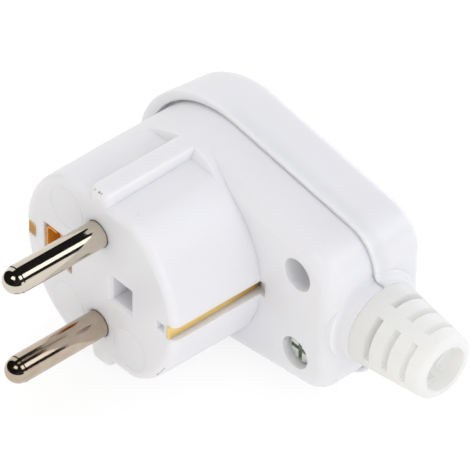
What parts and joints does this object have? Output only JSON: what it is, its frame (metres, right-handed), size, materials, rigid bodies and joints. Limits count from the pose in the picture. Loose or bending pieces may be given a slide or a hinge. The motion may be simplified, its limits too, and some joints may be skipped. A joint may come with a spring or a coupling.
{
  "type": "angled plug",
  "caption": "Right-angled earthed mains plug that can be rewired: white moulded shell and cover, round contact pins, earth strips on the sides and a slotted bend sleeve.",
  "frame": {"origin": "centre of the flat contact face that the pins stand on", "axes": "the pins point along -Y, the cord leaves along +X, and the line from pin to pin is Z, so the plug lies on its side"},
  "size_m": [0.0731, 0.0568, 0.0394],
  "materials": {
    "white_shell": "satin moulded white",
    "soft_sleeve": "soft moulded off-white",
    "inner_plastic": "plain moulded",
    "nickel": "bright nickel plate on turned brass",
    "brass": "bare pressed sheet",
    "zinc_steel": "zinc plate"
  },
  "bodies": {
    "root": {"front_shell": "white_shell", "rear_cover": "white_shell", "bend_sleeve": "soft_sleeve", "cord_clamp": "inner_plastic", "earth_strap": "brass", "earth_socket": "brass", "earth_rivet": "brass", "earth_clamp_plate": "zinc_steel", "earth_terminal_screw": "zinc_steel", "upper_pin": "nickel", "lower_pin": "nickel", "upper_terminal_screw": "zinc_steel", "lower_terminal_screw": "zinc_steel", "upper_cover_screw": "zinc_steel", "lower_cover_screw": "zinc_steel", "upper_cover_nut": "zinc_steel", "lower_cover_nut": "zinc_steel", "upper_clamp_screw": "zinc_steel", "lower_clamp_screw": "zinc_steel"}
  },
  "joints": []
}
